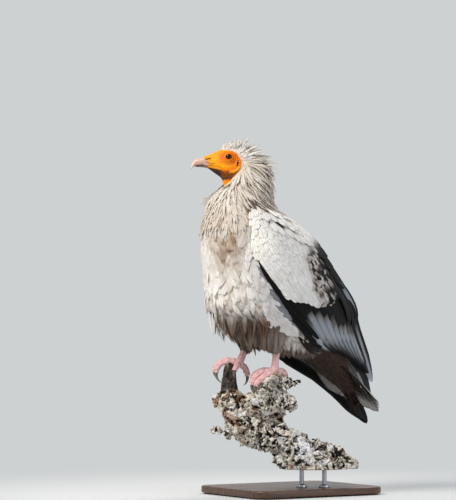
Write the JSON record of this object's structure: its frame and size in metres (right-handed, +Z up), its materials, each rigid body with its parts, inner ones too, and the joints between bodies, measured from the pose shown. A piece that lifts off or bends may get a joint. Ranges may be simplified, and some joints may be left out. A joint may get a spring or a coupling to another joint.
{
  "type": "egyptian vulture",
  "caption": "Egyptian vulture standing alert on a short gnarled length of branch, wings folded and head turned aside, held up by a plain display stand",
  "frame": {"origin": "middle of the stand base's flat underside", "axes": "+Z up, -Y the way the bird's body faces, +X to the bird's left"},
  "size_m": [0.214, 0.3657, 0.6273],
  "materials": {
    "plumage": "soft cream contour feathers with tan streaks",
    "wing_coverts": "overlapping white covert feathers",
    "pale_vanes": "stiff grey-white flight and tail feathers",
    "dark_vanes": "stiff black flight feathers",
    "face_skin": "bare wrinkled orange skin",
    "bill_horn": "smooth pinkish grey horn",
    "eye": "wet dark brown",
    "leg_skin": "scaly pink skin",
    "claw_horn": "dark horn",
    "bark": "rough craggy bark with pale lichen",
    "stand_wood": "dark stained satin wood",
    "stand_steel": "brushed"
  },
  "bodies": {
    "root": {"head": "face_skin", "neck": "plumage", "trunk": "plumage", "thigh_left": "plumage", "thigh_right": "plumage", "wing_left": "wing_coverts", "wing_right": "wing_coverts", "secondaries_left": "pale_vanes", "secondaries_right": "pale_vanes", "primaries_left": "dark_vanes", "primaries_right": "dark_vanes", "tail": "pale_vanes", "bill_upper": "bill_horn", "bill_lower": "bill_horn", "eye_left": "eye", "eye_right": "eye", "tarsus_left": "leg_skin", "tarsus_right": "leg_skin", "foot_left": "leg_skin", "foot_right": "leg_skin", "claw_left_1": "claw_horn", "claw_left_2": "claw_horn", "claw_left_3": "claw_horn", "claw_left_4": "claw_horn", "claw_right_1": "claw_horn", "claw_right_2": "claw_horn", "claw_right_3": "claw_horn", "claw_right_4": "claw_horn", "perch": "bark", "stand_base": "stand_wood", "stand_rod_1": "stand_steel", "stand_rod_2": "stand_steel"}
  },
  "joints": []
}
